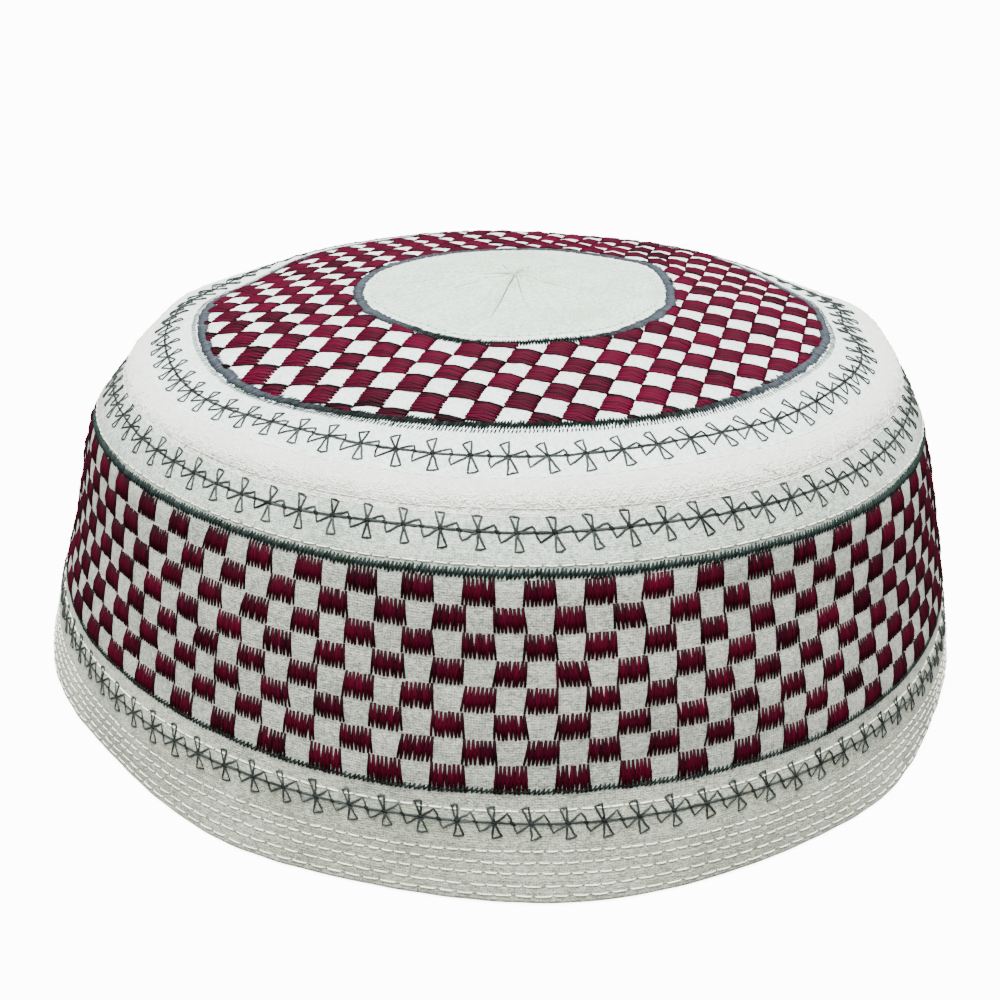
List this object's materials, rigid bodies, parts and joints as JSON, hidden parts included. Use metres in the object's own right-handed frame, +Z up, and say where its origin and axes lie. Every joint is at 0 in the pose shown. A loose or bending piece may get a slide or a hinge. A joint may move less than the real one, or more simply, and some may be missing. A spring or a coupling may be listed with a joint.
{
  "type": "prayer cap",
  "caption": "Round stiff embroidered prayer cap with a quilted hem, sloped side band, padded shoulder strip and low domed crown.",
  "frame": {"origin": "on the surface that the hem rests on, under the middle of the cap's box", "axes": "+Z up through the crown, -Y towards the front, +X towards the wearer's left"},
  "size_m": [0.1934, 0.19, 0.0718],
  "materials": {
    "hem_cloth": "matt quilted cotton",
    "band_cloth": "matt stiffened cotton",
    "strip_cloth": "matt padded cotton",
    "crown_cloth": "matt stiffened cotton",
    "maroon_thread": "satin embroidery thread",
    "green_thread": "satin embroidery thread",
    "grey_thread": "satin embroidery thread",
    "white_thread": "cotton sewing thread"
  },
  "bodies": {
    "root": {"hem_band": "hem_cloth", "side_band": "band_cloth", "rim_strip": "strip_cloth", "crown_panel": "crown_cloth"}
  },
  "joints": []
}
